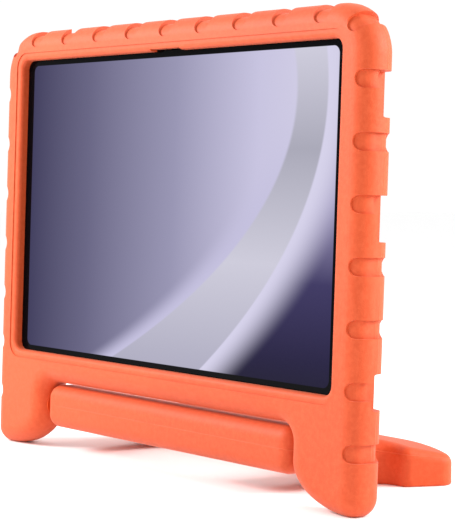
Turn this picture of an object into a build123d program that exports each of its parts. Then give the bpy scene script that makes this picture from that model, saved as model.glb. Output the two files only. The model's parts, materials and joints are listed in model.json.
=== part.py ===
from build123d import *
from math import cos, radians, sin
import os

# An 11-inch tablet in a moulded foam bumper case with two legs and a folding loop handle.
# Everything is drawn in the case's own frame, in millimetres: x to the right, y from the
# front face to the back, z up the screen, origin on the front face over the screen's centre.
# The handle is drawn about its hinge line. At the end all of it is leaned back and set down
# on the floor, with the origin at the centre of the footprint.

# ---- tablet ----
TAB_W, TAB_H, TAB_T = 257.1, 168.7, 6.9      # width, height, thickness
TAB_CORNER = 9.0                             # corner radius seen from the front
SHELL_WALL = 0.8                             # metal of the rear shell
GLASS_T, CELL_T, BACKLIGHT_T, MIDFRAME_T = 0.7, 0.6, 0.7, 0.8
CELL_EDGE_W, CELL_EDGE_H = 7.25, 7.25        # shell's inside to the display cell
BOARD_T, FLEX_T, PORT_Y = 0.8, 0.2, 9.65     # PORT_Y: keys and ports, from the case's front

# ---- foam case ----
FIT_GAP = 0.25                               # foam to tablet, all round its edge
SIDE_WALL, TOP_WALL, SILL_WALL = 12.2, 7.8, 7.3
LIP_DEPTH = 5.2                              # foam in front of the glass
BACK_WALL = 7.9                              # foam behind the tablet
LIP_SIDE, LIP_TOP = 4.6, 7.5                 # how far the lip covers the glass
LEG_DROP, LEG_W = 36.1, 43.6                 # sill's underside to the sole; leg's width
CASE_CORNER, ARCH_R, TOE_R = 23.0, 8.0, 8.0
FRONT_EDGE, BACK_EDGE = 9.0, 9.5             # rounding of the outer edges
HEEL_H = 21.0                                # height of the curve on each leg's inner heel
SOLE_FLAT = 0.6                              # how much is pressed flat under each leg
LEAN = 2.35                                  # degrees, case leaned back

RIM_W, RIM_R, RIM_STEP = 3.85, 8.0, 0.5      # stepped border round the window
WINDOW_R, WINDOW_EDGE = 5.0, 2.2
EYE_NOTCH_W, EYE_NOTCH_H = 23.0, 1.0         # room for the front camera

GROOVE_PITCH_TOP, GROOVE_W_TOP, GROOVE_REACH_TOP = 27.65, 10.0, 9.0
GROOVE_PITCH_SIDE, GROOVE_W_SIDE, GROOVE_REACH_SIDE = 26.5, 8.0, 7.6
GROOVE_END_TOP, GROOVE_FIRST_SIDE, GROOVE_END_SIDE = 30.0, 33.35, 25.0
GROOVE_DEPTH, GROOVE_DEPTH_FACE = 2.2, 1.0
GROOVE_W_CORNER, GROOVE_REACH_CORNER = 8.0, 8.0

# ---- cut-outs in the foam, each open to the back ----
SLOT_L, SLOT_LOW_L, SLOT_R = 20.0, 16.0, 3.0                 # along the side
SLOT_TOP_INSET, SLOT_LOW_INSET = 31.35, 10.35                # centres, from the tablet's edges
SLOT_FRONT_IN, SLOT_FRONT_OUT = 2.35, 0.35   # slot's front wall ahead of the ports' centre
PLUG_FRONT = 3.9                             # the same at the headphone socket, for its plug
SLOT_SKIN, SLOT_BACK, SLOT_MARGIN, SLOT_WINDOW_R = 2.6, 5.4, 2.0, 2.0
SLOT_INTO = 0.6                              # how far each slot is cut past the tablet's edge
KEY_SLOT_MARGIN = 4.5
REAR_EYE_SIDE, REAR_EYE_TOP = 24.5, 22.3     # rear camera, from the tablet's edges
EYE_HOLE, EYE_HOLE_R, EYE_HOLE_EDGE = 34.0, 10.0, 2.5

# ---- handle ----
HINGE_Y, HINGE_DROP = 12.25, 12.4            # from the front face; below the sill
BAR_D, BAR_H, BAR_R, BAR_END_R = 18.5, 22.0, 6.5, 7.0
BAR_GAP = 0.8                                # bar end to leg
HAND_REACH = 99.0                            # hinge line to the rear edge
WING_OVER, WING_Y, WING_R = 14.1, 81.0, 7.0  # widest point: past the leg's inner face
SHOULDER_OVER, SHOULDER_Y, SHOULDER_R = 2.6, 59.5, 6.0
ARM_GAP, ARM_W, ARM_R = 13.4, 26.0, 10.0     # leg's inner face to the arm; the arm
HOLE_Y0, HOLE_Y1, HOLE_R = 14.0, 62.0, 13.0  # finger hole
TOP_AT_BAR, REAR_T = 8.0, 14.3               # top over the hinge line; rear edge's height
UNDER_AT_BAR = 10.0                          # underside below the hinge line, at the bar
HEEL_CONTACT_Y = 56.0                        # where the underside reaches the floor
CROWN_W, CROWN_FALL = 41.0, 4.0              # top rolls off towards the wing tips
HAND_EDGE_TOP, HAND_EDGE_LOW = 5.0, 1.0

# ---- hinge ----
PIN_R, PIN_HEAD_R, PIN_HEAD_L, PIN_IN, PIN_OUT = 4.0, 6.5, 3.0, 20.0, 12.0
RUN_GAP = 0.06                               # radial clearance, pin in bush
BUSH_WALL, BUSH_L, BUSH_FLANGE_R, BUSH_FLANGE_T = 2.0, 14.0, 7.0, 1.5
SPOT_MARGIN = 0.5                            # spot face round each flange

# ---- keys on the tablet's top edge ----
KEY_W, KEY_PROUD, KEY_GAP, KEY_R = 2.4, 0.5, 0.12, 1.1
POWER_INSET, POWER_L = 28.55, 11.0           # from the tablet's left edge
VOLUME_INSET, VOLUME_L = 52.55, 22.0
KEY_LIP_T, KEY_LIP_OVER = 0.6, 0.8
KEY_TRAVEL, ROCK_GAP = 0.3, 0.3
KEY_ROOT = 1.6                               # key below its lip
SWITCH_L, SWITCH_W, SWITCH_H, SWITCH_PITCH = 4.0, 2.6, 1.2, 14.0
BRACKET_T, FULCRUM_W = 0.6, 1.5

# ---- inside the tablet ----
BATTERY_SPLIT, BATTERY_SIDE, BATTERY_T = 6.0, 24.5, 3.0      # between cells; cell to shell side
BATTERY_LOW, BATTERY_TOP = 14.0, 5.0
BOARD_H, BOARD_TOP_GAP = 28.0, 8.55          # mainboard's height, and from the shell's inside
BOARD_X0, BOARD_X1 = -42.0, 88.0
CAN_SPANS = ((-33.0, -8.0), (-2.0, 34.0), (42.0, 70.0))
CAN_T, CAN_WALL, CAN_H, CAN_INSET = 1.6, 0.2, 19.0, 4.5
CHIP_T, PROCESSOR_X, MEMORY_X = 0.9, 16.0, -20.5
CHARGE_W, CHARGE_H = 21.0, 32.0
USB_W, USB_H, USB_L, USB_SKIN = 8.35, 2.6, 7.6, 0.3
RIBBON_W, RIBBON_GAP = 4.0, 0.9               # ribbon, and its way past the battery
FLEX_X, DISPLAY_FLEX_W = 36.0, 26.0
SPEAKER_W, SPEAKER_H, SPEAKER_DUCT = 14.0, 17.0, 4.0
SPEAKER_LIFT, OUTLET_LIFT = 7.3, 3.5         # lower speaker and its outlet, above the slot's centre
SPEAKER_HOLES, SPEAKER_HOLE_R, SPEAKER_HOLE_PITCH = 4, 0.6, 2.4
JACK_BORE_R, JACK_COLLAR_R, JACK_BORE_L, JACK_L, JACK_W = 1.77, 1.95, 13.2, 14.0, 5.2
FRONT_EYE, FRONT_EYE_GAP = 5.0, 1.2
EYE_RING_R, EYE_LENS_R, EYE_PROUD = 8.0, 5.6, 0.9
TRAY_W, TRAY_T, TRAY_ABOVE, READER_L, READER_T = 14.0, 1.0, 25.5, 16.0, 2.0
MIC_FROM_BOARD, MIC_T, MIC_HOLE_R = 30.0, 1.1, 0.5
ANTENNA_X0, ANTENNA_X1 = 12.0, 62.0
SCREW_R, SCREW_HEAD_R, SCREW_HEAD_T = 0.6, 1.3, 0.5

# ---- worked out from the above ----
GLASS_Y = LIP_DEPTH
TAB_BACK = GLASS_Y + TAB_T
CASE_T = TAB_BACK + BACK_WALL
TAB_X, TAB_Z = TAB_W / 2, TAB_H / 2
CASE_HALF = TAB_X + FIT_GAP + SIDE_WALL
CASE_TOP = TAB_Z + FIT_GAP + TOP_WALL
SILL_Z = -(TAB_Z + FIT_GAP + SILL_WALL)
SOLE_Z = SILL_Z - LEG_DROP
LEG_IN = CASE_HALF - LEG_W
HEEL_W = LEG_W - TOE_R
WINDOW_W, WINDOW_H = TAB_W - 2 * LIP_SIDE, TAB_H - 2 * LIP_TOP
BAY_X, BAY_Z = TAB_X - SHELL_WALL, TAB_Z - SHELL_WALL        # inside of the rear shell
CELL_Y = GLASS_Y + GLASS_T
BACKLIGHT_Y = CELL_Y + CELL_T
MIDFRAME_Y = BACKLIGHT_Y + BACKLIGHT_T
BAY_Y = MIDFRAME_Y + MIDFRAME_T                              # electronics bay, front and back
BAY_BACK = TAB_BACK - SHELL_WALL
BOARD_BACK = BAY_Y + BOARD_T
SLOT_TOP_Z, SLOT_LOW_Z = TAB_Z - SLOT_TOP_INSET, -TAB_Z + SLOT_LOW_INSET
REAR_EYE_X, REAR_EYE_Z = TAB_X - REAR_EYE_SIDE, TAB_Z - REAR_EYE_TOP
POWER_X, VOLUME_X = -TAB_X + POWER_INSET, -TAB_X + VOLUME_INSET
HINGE_Z = SILL_Z - HINGE_DROP
BAR_HALF = LEG_IN - BAR_GAP
ARM_OUT = LEG_IN - ARM_GAP
ARM_IN = ARM_OUT - ARM_W
SHOULDER_HALF, WING_HALF = LEG_IN + SHOULDER_OVER, LEG_IN + WING_OVER
CELL_W, CELL_H = 2 * (BAY_X - CELL_EDGE_W), 2 * (BAY_Z - CELL_EDGE_H)
BOARD_Z = BAY_Z - BOARD_TOP_GAP - BOARD_H
CAN_Z0 = BOARD_Z + CAN_INSET
KEY_TOP_GAP = 0.05
VOLUME_ROOT = BAY_Z - ROCK_GAP - KEY_LIP_T - KEY_ROOT        # underside of the volume key
BRACKET_Z = VOLUME_ROOT - KEY_TRAVEL - 0.05 - SWITCH_H - FLEX_T - BRACKET_T
JACK_IN, JACK_Y = -BAY_X + JACK_L, (MIDFRAME_Y + BAY_BACK) / 2
FRONT_EYE_Z = BAY_Z - FRONT_EYE_GAP - FRONT_EYE
TRAY_Y, TRAY_Z = BAY_Y + 0.5, TRAY_ABOVE
MIC_X = BOARD_X1 - MIC_FROM_BOARD
SCREWS = ((BOARD_X0 + 6, BOARD_Z + 3), (BOARD_X0 + 80, BOARD_Z + 3), (BOARD_X1 - 8, BOARD_Z + 20),
          (BOARD_X0 + 37, BOARD_Z + 14), (BAY_X - CHARGE_W + 3, 13.5), (BAY_X - CHARGE_W + 3, -13.5))
SIDES = (("left", -1), ("right", 1))
LEAN_SIN, LEAN_COS = sin(radians(LEAN)), cos(radians(LEAN))
FLOOR_Z = ((SOLE_Z + BACK_EDGE) * LEAN_COS - (CASE_T - BACK_EDGE) * LEAN_SIN
           - BACK_EDGE + SOLE_FLAT)                          # height of the floor, case upright
HINGE_Y_LEANED = HINGE_Y * LEAN_COS + HINGE_Z * LEAN_SIN
HINGE_H = HINGE_Z * LEAN_COS - HINGE_Y * LEAN_SIN - FLOOR_Z  # hinge line above the floor
FRONT_Y = (SOLE_Z + FRONT_EDGE) * LEAN_SIN + FRONT_EDGE * LEAN_COS - FRONT_EDGE
MID_Y = (FRONT_Y + HINGE_Y_LEANED + HAND_REACH) / 2          # middle of the footprint
SETTLE = Pos(0, -MID_Y, -FLOOR_Z) * Rot(-LEAN, 0, 0)         # case frame to the floor
HINGE_SPOT = Pos(0, HINGE_Y_LEANED - MID_Y, HINGE_H)         # hinge frame to the floor


def box(x0, x1, y0, y1, z0, z1):
    """A block between two corners."""
    return Pos((x0 + x1) / 2, (y0 + y1) / 2, (z0 + z1) / 2) * Box(x1 - x0, y1 - y0, z1 - z0)


def slab(sketch, y0, y1):
    """A sketch drawn in the front view, carried from depth y0 to depth y1."""
    return extrude(Plane.XZ.offset(-y0) * sketch, amount=-(y1 - y0))


def rounded(w, h, r, x=0.0, z=0.0):
    return Pos(x, z) * RectangleRounded(w, h, r)


def rod_x(r, x0, x1, y, z):
    """A round bar along x."""
    return Pos((x0 + x1) / 2, y, z) * Rotation(0, 90, 0) * Cylinder(r, abs(x1 - x0))


def rod_y(r, y0, y1, x, z):
    """A round bar along y."""
    return Pos(x, (y0 + y1) / 2, z) * Rotation(90, 0, 0) * Cylinder(r, y1 - y0)


# ------------------------------------------------------------------ foam case
def case_outline(inset):
    """Front view of the case: a rounded block less the arch between the legs."""
    half, top, sole = CASE_HALF - inset, CASE_TOP - inset, SOLE_Z + inset
    leg_in, sill = LEG_IN + inset, SILL_Z + inset
    block = Pos(0, (top + sole) / 2) * Rectangle(2 * half, top - sole)
    block = fillet(block.vertices().sort_by(Axis.Y)[-2:], CASE_CORNER - inset)
    block = fillet(block.vertices().sort_by(Axis.Y)[:2], TOE_R)
    arch = Pos(0, (sill + sole) / 2) * Rectangle(2 * leg_in, sill - sole)
    arch = fillet(arch.vertices().sort_by(Axis.Y)[-2:], ARCH_R)
    outline = block - arch
    for _, s in SIDES:
        corner = Pos(s * (leg_in + HEEL_W / 2), sole + HEEL_H / 2) * Rectangle(HEEL_W, HEEL_H)
        heel = Pos(s * (leg_in + HEEL_W), sole + HEEL_H) * Ellipse(HEEL_W, HEEL_H)
        outline = outline - (corner - heel)
    return outline


def rounded_block(inset, face_inset):
    """The case's outer body, drawn in by inset at the sides and face_inset front and back."""
    y0, y1 = face_inset, CASE_T - face_inset
    body = slab(case_outline(inset), y0, y1)
    front = body.edges().filter_by_position(Axis.Y, y0 - 0.01, y0 + 0.01)
    body = fillet(front, FRONT_EDGE - inset)
    back = body.edges().filter_by_position(Axis.Y, y1 - 0.01, y1 + 0.01)
    return fillet(back, BACK_EDGE - inset)


def groove_pills():
    """Every groove's plan in the front view: a round-ended slot run out over the edge."""
    over = 8.0
    pills = []
    top_count = int((2 * CASE_HALF - 2 * GROOVE_END_TOP) / GROOVE_PITCH_TOP) + 1
    for k in range(top_count):
        x = (k - (top_count - 1) / 2) * GROOVE_PITCH_TOP
        r = GROOVE_W_TOP / 2
        z0 = CASE_TOP - GROOVE_REACH_TOP + r
        pills.append(Pos(x, z0) * Circle(r) + Pos(x, z0 + over) * Rectangle(2 * r, 2 * over))
    side_run = CASE_TOP - GROOVE_FIRST_SIDE - SOLE_Z - GROOVE_END_SIDE
    for k in range(int(side_run / GROOVE_PITCH_SIDE) + 1):
        z = CASE_TOP - GROOVE_FIRST_SIDE - k * GROOVE_PITCH_SIDE
        r = GROOVE_W_SIDE / 2
        x0 = CASE_HALF - GROOVE_REACH_SIDE + r
        for _, s in SIDES:
            pills.append(Pos(s * x0, z) * Circle(r)
                         + Pos(s * (x0 + over), z) * Rectangle(2 * over, 2 * r))
    bend = (CASE_CORNER - CASE_CORNER / 2 ** 0.5)      # corner arc's distance inside the square
    for _, s in SIDES:
        r = GROOVE_W_CORNER / 2
        back = (GROOVE_REACH_CORNER - r) / 2 ** 0.5 + bend
        x0, z0 = CASE_HALF - back, CASE_TOP - back
        pill = Circle(r) + Pos(over, 0) * Rectangle(2 * over, 2 * r)
        pills.append(Pos(s * x0, z0) * Rot(0, 0, 45 if s > 0 else 135) * pill)
    return pills


def port_slot(s, z, length, front_in, front_out):
    """A scoop out of one side wall, open to the back, and a window from it to the ports."""
    x_skin, x_out = TAB_X + FIT_GAP + SLOT_SKIN, CASE_HALF + 1
    y_in, y_out = PORT_Y - front_in, PORT_Y - front_out
    plan = Polygon((x_skin, y_in), (x_out, y_out), (x_out, CASE_T + 1), (x_skin, CASE_T + 1),
                   align=None)
    scoop = Pos(0, 0, z - length / 2) * extrude(plan, amount=length)
    front = scoop.edges().filter_by(lambda e: abs(e.center().Y - (y_in + y_out) / 2) < 0.2)
    window = box(TAB_X - SLOT_INTO, x_skin + 1, y_in, PORT_Y + SLOT_BACK,
                 z - length / 2 + SLOT_MARGIN, z + length / 2 - SLOT_MARGIN)
    slot = fillet(front, SLOT_R) + fillet(window.edges().filter_by(Axis.X), SLOT_WINDOW_R)
    return slot if s > 0 else mirror(slot, about=Plane.YZ)


def in_eye_hole(p):
    """Whether a point is on the rim of the rear camera's hole, on the back face."""
    reach = EYE_HOLE / 2 + 0.1
    return (abs(p.X - REAR_EYE_X) < reach and abs(p.Z - REAR_EYE_Z) < reach
            and abs(p.Y - CASE_T) < 0.01)


def below_floor():
    """All that lies under the floor, in the case's frame."""
    block = box(-2 * CASE_HALF, 2 * CASE_HALF, -200, 300, -100, 0)
    return SETTLE.inverse() * block


def foam_case():
    body = rounded_block(0, 0)
    core = rounded_block(GROOVE_DEPTH, GROOVE_DEPTH_FACE)
    for pill in groove_pills():
        body = body - (slab(pill, -1, CASE_T + 1) - core)
    rim = rounded(WINDOW_W + 2 * RIM_W, WINDOW_H + 2 * RIM_W, RIM_R)
    body = body - slab(rim, -1, RIM_STEP)
    window = rounded(WINDOW_W, WINDOW_H, WINDOW_R)
    hole = slab(window, RIM_STEP - 1, GLASS_Y + 1)
    body = body - hole
    edge = body.edges().filter_by_position(Axis.Y, RIM_STEP - 0.01, RIM_STEP + 0.01).filter_by(
        lambda e: abs(e.center().X) < WINDOW_W / 2 + 0.1 and abs(e.center().Z) < WINDOW_H / 2 + 0.1)
    body = fillet(edge, WINDOW_EDGE)
    body = body - box(-EYE_NOTCH_W / 2, EYE_NOTCH_W / 2, -1, GLASS_Y + 1,
                      0, WINDOW_H / 2 + EYE_NOTCH_H)
    pocket = rounded(TAB_W + 2 * FIT_GAP, TAB_H + 2 * FIT_GAP, TAB_CORNER + FIT_GAP)
    body = body - slab(pocket, GLASS_Y, TAB_BACK)
    eye = slab(rounded(EYE_HOLE, EYE_HOLE, EYE_HOLE_R, REAR_EYE_X, REAR_EYE_Z),
               TAB_BACK - 1, CASE_T)
    body = body - eye
    body = fillet(body.edges().filter_by(lambda e: in_eye_hole(e.center())), EYE_HOLE_EDGE)
    for _, s in SIDES:
        plug = (PLUG_FRONT, PLUG_FRONT) if s < 0 else (SLOT_FRONT_IN, SLOT_FRONT_OUT)
        body = body - port_slot(s, 0, SLOT_L, *plug)
        for z, length in ((SLOT_TOP_Z, SLOT_L), (SLOT_LOW_Z, SLOT_LOW_L)):
            body = body - port_slot(s, z, length, SLOT_FRONT_IN, SLOT_FRONT_OUT)
    x0 = POWER_X - POWER_L / 2 - KEY_SLOT_MARGIN
    x1 = VOLUME_X + VOLUME_L / 2 + KEY_SLOT_MARGIN
    key_slot = box(x0, x1, PORT_Y - SLOT_FRONT_IN, CASE_T + 1, TAB_Z - SLOT_INTO, CASE_TOP + 1)
    body = body - fillet(key_slot.edges().filter_by(Axis.Z), SLOT_R)
    for _, s in SIDES:
        spot_face = rod_x(BUSH_FLANGE_R + SPOT_MARGIN, s * (LEG_IN - ARCH_R / 2), s * LEG_IN,
                          HINGE_Y, HINGE_Z)
        body = body - bush_blank(s) - spot_face
    return body - below_floor()


# ------------------------------------------------------------------ hinge
def bush_blank(s):
    """The bush without its bore: a sleeve in the leg with a thin flange on the leg's face."""
    sleeve = rod_x(PIN_R + RUN_GAP + BUSH_WALL, s * LEG_IN, s * (LEG_IN + BUSH_L), HINGE_Y, HINGE_Z)
    flange = rod_x(BUSH_FLANGE_R, s * LEG_IN, s * (LEG_IN + BUSH_FLANGE_T), HINGE_Y, HINGE_Z)
    return sleeve + flange


def bush(s):
    bore = rod_x(PIN_R + RUN_GAP, s * (LEG_IN - 1), s * (LEG_IN + PIN_OUT + 1), HINGE_Y, HINGE_Z)
    return bush_blank(s) - bore


def pin(s):
    """Moulded into the bar by its head; its free end turns in the bush."""
    x_in = s * (BAR_HALF - PIN_IN)
    stem = rod_x(PIN_R, x_in, s * (LEG_IN + PIN_OUT), HINGE_Y, HINGE_Z)
    head = rod_x(PIN_HEAD_R, x_in, x_in + s * PIN_HEAD_L, HINGE_Y, HINGE_Z)
    return stem + head


# ------------------------------------------------------------------ handle
def handle_plan():
    """The handle from above, about the hinge line: arms, wings, arched rear edge, finger hole."""
    right = [(0, 0), (ARM_OUT, 0), (ARM_OUT, SHOULDER_Y), (SHOULDER_HALF, SHOULDER_Y),
             (WING_HALF, WING_Y)]
    rim = [Line(a, b) for a, b in zip(right, right[1:])]
    rim.append(Spline(right[-1], (0.8 * WING_HALF, WING_Y + 0.47 * (HAND_REACH - WING_Y)),
                      (0, HAND_REACH), tangents=[(-0.55, 0.45), (-1, 0)]))
    rim.append(Line((0, HAND_REACH), (0, 0)))
    half = make_face(rim)
    for x, y, r in ((ARM_OUT, SHOULDER_Y, ARM_R), (SHOULDER_HALF, SHOULDER_Y, SHOULDER_R),
                    (WING_HALF, WING_Y, WING_R)):
        half = fillet(half.vertices().sort_by_distance((x, y, 0))[0], r)
    hole = Pos(0, (HOLE_Y0 + HOLE_Y1) / 2) * RectangleRounded(2 * ARM_IN, HOLE_Y1 - HOLE_Y0, HOLE_R)
    return half + mirror(half, about=Plane.YZ) - hole


def crown_face(floor):
    """Cross-section of the handle's upper limit: flat, rolling off towards the wing tips."""
    edge, low = WING_HALF + 10, TOP_AT_BAR - CROWN_FALL
    flat = WING_HALF - CROWN_W
    ends = []
    for s in (1, -1):
        ends += [Line((s * edge, floor - 1), (s * edge, low)),
                 Line((s * edge, low), (s * WING_HALF, low)),
                 Spline((s * WING_HALF, low), (s * flat, TOP_AT_BAR),
                        tangents=[(-s, 2 * CROWN_FALL / CROWN_W), (-s, 0)])]
    base = Line((-edge, floor - 1), (edge, floor - 1))
    return make_face(ends + [base, Line((flat, TOP_AT_BAR), (-flat, TOP_AT_BAR))])


def rim_edges(head, floor, upper):
    """The head's upper or lower rim, outside and round the finger hole."""
    def wanted(edge):
        p = edge.center()
        under = max(floor, -UNDER_AT_BAR - (floor + UNDER_AT_BAR) / -HEEL_CONTACT_Y * p.Y)
        over = TOP_AT_BAR - (TOP_AT_BAR - floor - REAR_T) / HAND_REACH * p.Y
        crease = abs(p.Y - HEEL_CONTACT_Y) < 0.01
        seam = abs(abs(p.X) - (WING_HALF - CROWN_W)) < 0.01 and edge.length > 60
        if p.Y < 0.5 or crease or seam:
            return False
        return (p.Z > (under + over) / 2) == upper
    rim = head.edges().filter_by(Axis.Z, reverse=True)
    return rim.filter_by(wanted)


def handle_head(floor):
    """Arms and grip: the plan carried up, under a sloping crowned top, on a flat underside."""
    block = Pos(0, 0, floor) * extrude(handle_plan(), amount=TOP_AT_BAR - floor + 6)
    start, run = -20.0, HAND_REACH
    fall = (TOP_AT_BAR - (floor + REAR_T)) / run
    slope = Vector(0, 1, -fall)
    top = extrude(Plane.XZ.offset(-start) * (Pos(0, -start * fall) * crown_face(floor)),
                  amount=(run - start + 40) * slope.length, dir=slope)
    head = block & top
    wedge = Polygon((-1, floor - 30), (HAND_REACH + 5, floor - 30), (HAND_REACH + 5, floor),
                    (HEEL_CONTACT_Y, floor), (-1, -UNDER_AT_BAR), align=None)
    head = head - extrude(Plane.YZ * wedge, amount=WING_HALF + 5, both=True)
    head = fillet(rim_edges(head, floor, True), HAND_EDGE_TOP)
    return fillet(rim_edges(head, floor, False), HAND_EDGE_LOW)


def handle_bar():
    """The round-cornered bar between the legs, square to the leaned case."""
    bar = extrude(RectangleRounded(BAR_H, BAR_D, BAR_R), amount=BAR_HALF, both=True)
    ends = bar.edges().filter_by_position(Axis.Z, BAR_HALF - 0.01, BAR_HALF + 0.01)
    ends += bar.edges().filter_by_position(Axis.Z, -BAR_HALF - 0.01, -BAR_HALF + 0.01)
    return Rot(-LEAN, 0, 0) * Rot(0, 90, 0) * fillet(ends, BAR_END_R)


def handle():
    body = handle_bar() + handle_head(-HINGE_H)
    for _, s in SIDES:
        body = body - Pos(0, -HINGE_Y, -HINGE_Z) * pin(s)
    return body


# ------------------------------------------------------------------ tablet, outside
def key_slot_hole(x, length):
    return box(x - length / 2 - KEY_GAP, x + length / 2 + KEY_GAP, PORT_Y - KEY_W / 2 - KEY_GAP,
               PORT_Y + KEY_W / 2 + KEY_GAP, BAY_Z - 1, TAB_Z + 1)


def rear_shell():
    """An aluminium tray: back plate and rim, pierced for ports, speakers, keys and camera."""
    shell = slab(rounded(TAB_W, TAB_H, TAB_CORNER), GLASS_Y, TAB_BACK)
    back = shell.edges().filter_by_position(Axis.Y, TAB_BACK - 0.01, TAB_BACK + 0.01)
    shell = fillet(back, SHELL_WALL / 2)
    shell = shell - slab(rounded(2 * BAY_X, 2 * BAY_Z, TAB_CORNER - SHELL_WALL), GLASS_Y - 1, BAY_BACK)
    shell = shell - usb_block(USB_SKIN, BAY_X - 1, TAB_X + 1)
    shell = shell - rod_x(JACK_COLLAR_R, -TAB_X - 1, -BAY_X + 1, JACK_Y, 0)
    shell = shell - rod_y(EYE_RING_R, BAY_BACK - 1, TAB_BACK + 1, REAR_EYE_X, REAR_EYE_Z)
    for x, length in ((POWER_X, POWER_L), (VOLUME_X, VOLUME_L)):
        shell = shell - key_slot_hole(x, length)
    for _, s in SIDES:
        for z in (SLOT_TOP_Z, SLOT_LOW_Z + OUTLET_LIFT):
            for k in range(SPEAKER_HOLES):
                hz = z + (k - (SPEAKER_HOLES - 1) / 2) * SPEAKER_HOLE_PITCH
                shell = shell - rod_x(SPEAKER_HOLE_R, s * (BAY_X - 1), s * (TAB_X + 1), PORT_Y, hz)
    shell = shell - box(-TAB_X - 1, -BAY_X + 1, TRAY_Y, TRAY_Y + TRAY_T,
                        TRAY_Z - TRAY_W / 2, TRAY_Z + TRAY_W / 2)
    return shell - Pos(MIC_X, BAY_Y + MIC_T / 2, TAB_Z) * Cylinder(MIC_HOLE_R, 4)


def cover_glass():
    glass = slab(rounded(2 * BAY_X, 2 * BAY_Z, TAB_CORNER - SHELL_WALL), GLASS_Y, CELL_Y)
    front = glass.edges().filter_by_position(Axis.Y, GLASS_Y - 0.01, GLASS_Y + 0.01)
    return fillet(front, 0.3)


def power_key():
    return key(POWER_X, POWER_L, KEY_TOP_GAP)


def volume_key():
    return key(VOLUME_X, VOLUME_L, ROCK_GAP)


def key(x, length, lip_gap):
    """A rounded bar through the shell's top wall, held in by a wider lip under the wall."""
    root = BAY_Z - lip_gap - KEY_LIP_T - KEY_ROOT
    plan = RectangleRounded(length, KEY_W, KEY_R)
    bar = Pos(x, PORT_Y, root) * extrude(plan, amount=TAB_Z + KEY_PROUD - root)
    top = bar.edges().sort_by(Axis.Z)[-8:].filter_by(lambda e: e.center().Z > TAB_Z)
    bar = fillet(top, 0.25)
    half = length / 2 + KEY_LIP_OVER
    lip = box(x - half, x + half, PORT_Y - KEY_W / 2, PORT_Y + KEY_W / 2,
              BAY_Z - lip_gap - KEY_LIP_T, BAY_Z - lip_gap)
    return bar + lip


# ------------------------------------------------------------------ tablet, inside
def display_cell():
    return slab(Rectangle(CELL_W, CELL_H), CELL_Y, BACKLIGHT_Y)


def backlight_unit():
    return slab(Rectangle(CELL_W, CELL_H), BACKLIGHT_Y, MIDFRAME_Y)


def midframe():
    """The stiff plate behind the display, with room cut for the jack, camera and flex."""
    plate = slab(rounded(2 * BAY_X, 2 * BAY_Z, TAB_CORNER - SHELL_WALL), MIDFRAME_Y, BAY_Y)
    y0, y1 = MIDFRAME_Y - 1, BAY_Y + 1
    plate = plate - box(-BAY_X - 1, JACK_IN, y0, y1, -JACK_W / 2, JACK_W / 2)
    plate = plate - box(-FRONT_EYE / 2, FRONT_EYE / 2, y0, y1, FRONT_EYE_Z, FRONT_EYE_Z + FRONT_EYE)
    plate = plate - box(FLEX_X, FLEX_X + DISPLAY_FLEX_W, y0, y1, CELL_H / 2, CELL_H / 2 + 2 * FLEX_T)
    for x, z in SCREWS:
        plate = plate - rod_y(SCREW_R, y0, y1, x, z)
    return plate


def battery(s):
    """One of two pouch cells, side by side on the midframe."""
    x0, x1 = sorted((s * BATTERY_SPLIT / 2, s * (BAY_X - BATTERY_SIDE)))
    cell = box(x0, x1, BAY_Y, BAY_Y + BATTERY_T, -BAY_Z + BATTERY_LOW, BOARD_Z - BATTERY_TOP)
    return fillet(cell.edges().filter_by(Axis.Z), 1.2)


def mainboard():
    board = box(BOARD_X0, BOARD_X1, BAY_Y, BOARD_BACK, BOARD_Z, BOARD_Z + BOARD_H)
    for x, z in SCREWS:
        board = board - rod_y(SCREW_R, BAY_Y - 1, BOARD_BACK + 1, x, z)
    return board


def shield_cans():
    """Thin pressed lids over the board's circuits."""
    cans = []
    for x0, x1 in CAN_SPANS:
        lid = box(x0, x1, BOARD_BACK, BOARD_BACK + CAN_T, CAN_Z0, CAN_Z0 + CAN_H)
        lid = fillet(lid.edges().filter_by(Axis.Y), 0.8)
        inside = box(x0 + CAN_WALL, x1 - CAN_WALL, BOARD_BACK - 1, BOARD_BACK + CAN_T - CAN_WALL,
                     CAN_Z0 + CAN_WALL, CAN_Z0 + CAN_H - CAN_WALL)
        cans.append(lid - inside)
    return Compound(children=cans)


def chip(x, w, h):
    return box(x - w / 2, x + w / 2, BOARD_BACK, BOARD_BACK + CHIP_T,
               CAN_Z0 + (CAN_H - h) / 2, CAN_Z0 + (CAN_H + h) / 2)


def usb_block(skin, x0, x1):
    """A flattened tube's outline carried along x; skin grows or shrinks it."""
    plan = RectangleRounded(USB_W + 2 * skin, USB_H + 2 * skin, (USB_H + 2 * skin) / 2 - 0.05)
    block = Rot(0, 90, 0) * extrude(plan, amount=x1 - x0)
    return Pos(x0, PORT_Y, 0) * block


def usb_port():
    """Receptacle: a drawn steel tube, closed behind, with a tongue down its middle."""
    x_in = BAY_X + SHELL_WALL - USB_L
    tube = usb_block(USB_SKIN, x_in, TAB_X) - usb_block(0, x_in + 0.8, TAB_X + 1)
    tongue = box(x_in + 0.8, TAB_X - 1.2, PORT_Y - 0.35, PORT_Y + 0.35, -3.3, 3.3)
    return tube + tongue


def charge_board():
    x0 = BAY_X - CHARGE_W
    board = box(x0, BAY_X, BAY_Y, BOARD_BACK, -CHARGE_H / 2, CHARGE_H / 2)
    room = USB_W / 2 + USB_SKIN
    board = board - box(BAY_X + SHELL_WALL - USB_L, BAY_X + 1, BAY_Y - 1, BOARD_BACK + 1, -room, room)
    for x, z in SCREWS:
        board = board - rod_y(SCREW_R, BAY_Y - 1, BOARD_BACK + 1, x, z)
    return board


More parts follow.
